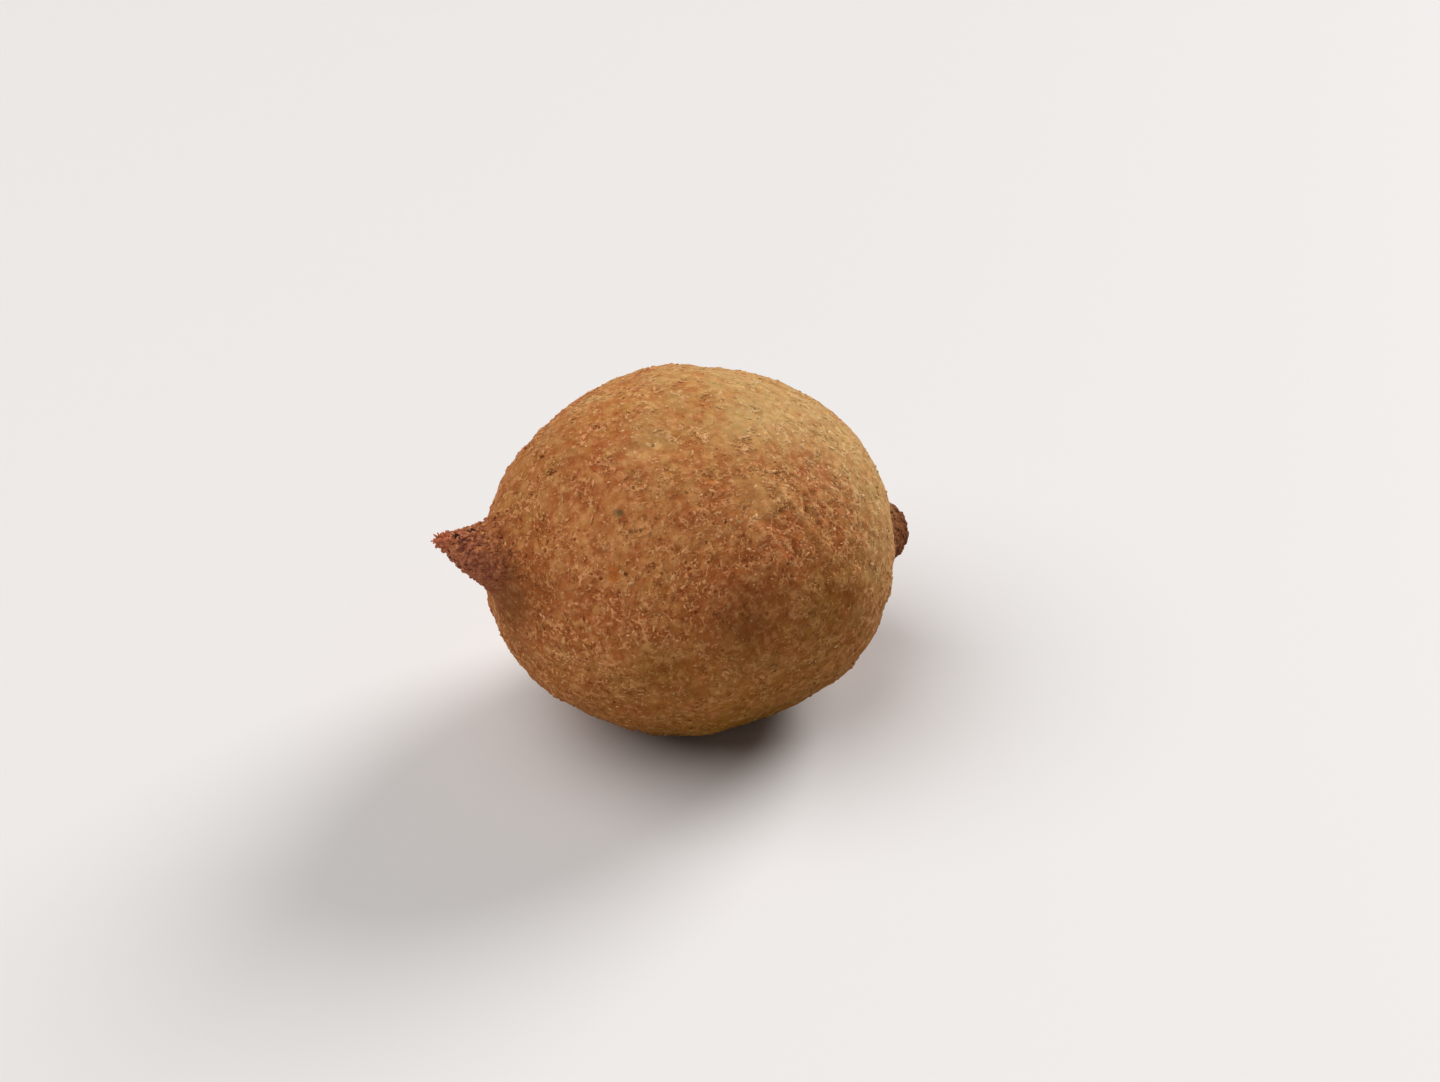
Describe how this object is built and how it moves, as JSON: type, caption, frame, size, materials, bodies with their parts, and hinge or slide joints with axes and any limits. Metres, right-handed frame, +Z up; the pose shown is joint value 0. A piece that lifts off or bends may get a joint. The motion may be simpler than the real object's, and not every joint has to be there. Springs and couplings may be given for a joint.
{
  "type": "kibbeh",
  "caption": "Fried ball of bulgur dough drawn out to a pinched point at each end, lying on its belly, served as street food or a starter.",
  "frame": {"origin": "on the surface that the kibbeh rests on, under the middle of its bounding box", "axes": "+X along the line between the two points, towards the blunter back point; +Z up; -X towards the sharper, raised front point"},
  "size_m": [0.0782, 0.0564, 0.0557],
  "materials": {
    "crust": "matte fried bulgur crust, golden tan to dark brown, grainy"
  },
  "bodies": {
    "root": {"kibbeh": "crust"}
  },
  "joints": []
}
